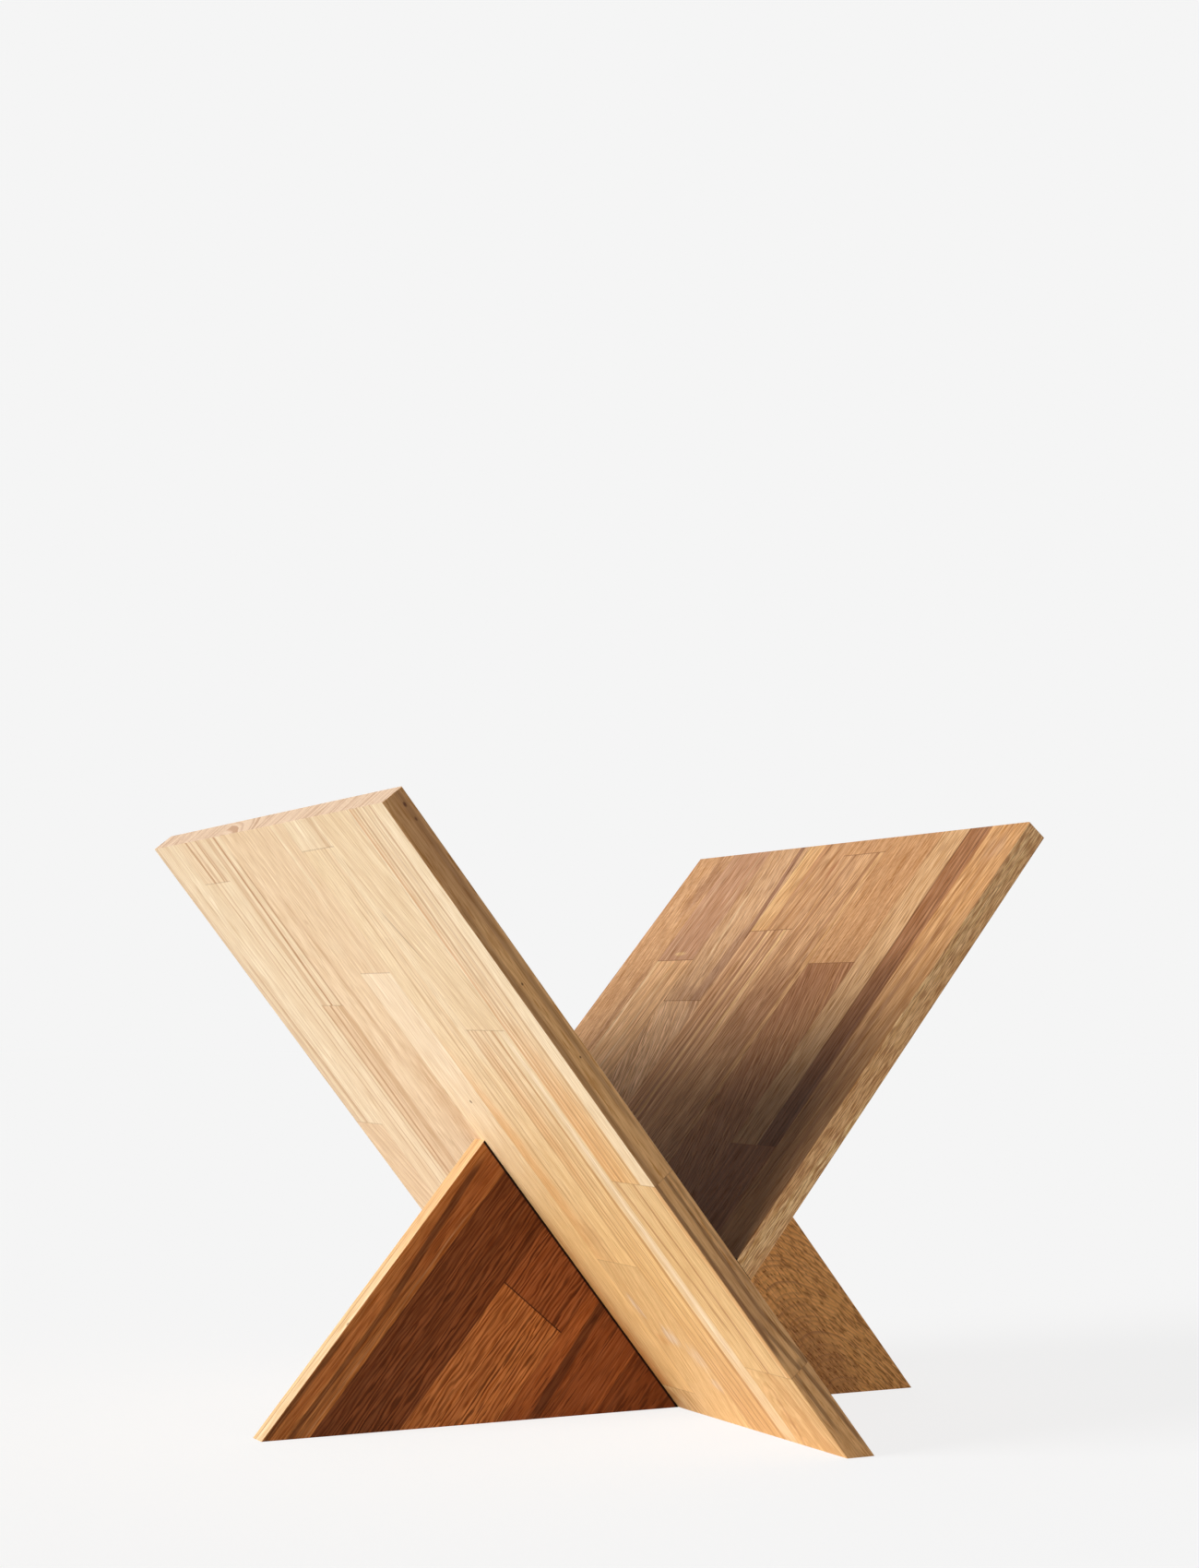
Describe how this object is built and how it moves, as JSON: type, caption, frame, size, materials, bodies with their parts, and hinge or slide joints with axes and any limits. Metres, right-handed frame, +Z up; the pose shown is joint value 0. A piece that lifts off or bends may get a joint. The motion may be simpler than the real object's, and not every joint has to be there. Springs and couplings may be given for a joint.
{
  "type": "magazine holder",
  "caption": "Freestanding oak magazine holder: two leaning stave-glued boards meet in an open V, held up by an upright triangular fin on each side.",
  "frame": {"origin": "on the floor, at the middle of the whole footprint", "axes": "+Z up, +X from the long board's top towards the short board's top, +Y across the boards"},
  "size_m": [0.39, 0.32, 0.302],
  "materials": {
    "long_board_oak": "oiled, satin",
    "short_board_oak": "oiled, satin",
    "left_fin_oak": "oiled, satin",
    "right_fin_oak": "oiled, satin",
    "beech_dowel": "plain"
  },
  "bodies": {
    "root": {"board_dowels": "beech_dowel", "fin_through_dowels": "beech_dowel", "left_fin_dowel": "beech_dowel", "left_fin_stave_1": "left_fin_oak", "left_fin_stave_2": "left_fin_oak", "left_fin_stave_3_lower": "left_fin_oak", "left_fin_stave_3_upper": "left_fin_oak", "left_fin_stave_4": "left_fin_oak", "left_fin_stave_5": "left_fin_oak", "long_board_stave_1_lower": "long_board_oak", "long_board_stave_1_middle": "long_board_oak", "long_board_stave_1_upper": "long_board_oak", "long_board_stave_2_lower": "long_board_oak", "long_board_stave_2_upper": "long_board_oak", "long_board_stave_3_lower": "long_board_oak", "long_board_stave_3_middle": "long_board_oak", "long_board_stave_3_upper": "long_board_oak", "long_board_stave_4_lower": "long_board_oak", "long_board_stave_4_middle": "long_board_oak", "long_board_stave_4_upper": "long_board_oak", "long_board_stave_5": "long_board_oak", "long_board_stave_6_lower": "long_board_oak", "long_board_stave_6_upper": "long_board_oak", "long_board_stave_7_lower": "long_board_oak", "long_board_stave_7_upper": "long_board_oak", "long_board_stave_8_lower": "long_board_oak", "long_board_stave_8_upper": "long_board_oak", "right_fin_dowels": "beech_dowel", "right_fin_stave_1": "right_fin_oak", "right_fin_stave_2": "right_fin_oak", "right_fin_stave_3": "right_fin_oak", "short_board_stave_1": "short_board_oak", "short_board_stave_2_lower": "short_board_oak", "short_board_stave_2_upper": "short_board_oak", "short_board_stave_3_lower": "short_board_oak", "short_board_stave_3_upper": "short_board_oak", "short_board_stave_4_lower": "short_board_oak", "short_board_stave_4_upper": "short_board_oak", "short_board_stave_5_lower": "short_board_oak", "short_board_stave_5_upper": "short_board_oak", "short_board_stave_6_lower": "short_board_oak", "short_board_stave_6_upper": "short_board_oak", "short_board_stave_7_lower": "short_board_oak", "short_board_stave_7_upper": "short_board_oak", "short_board_stave_8": "short_board_oak"}
  },
  "joints": []
}
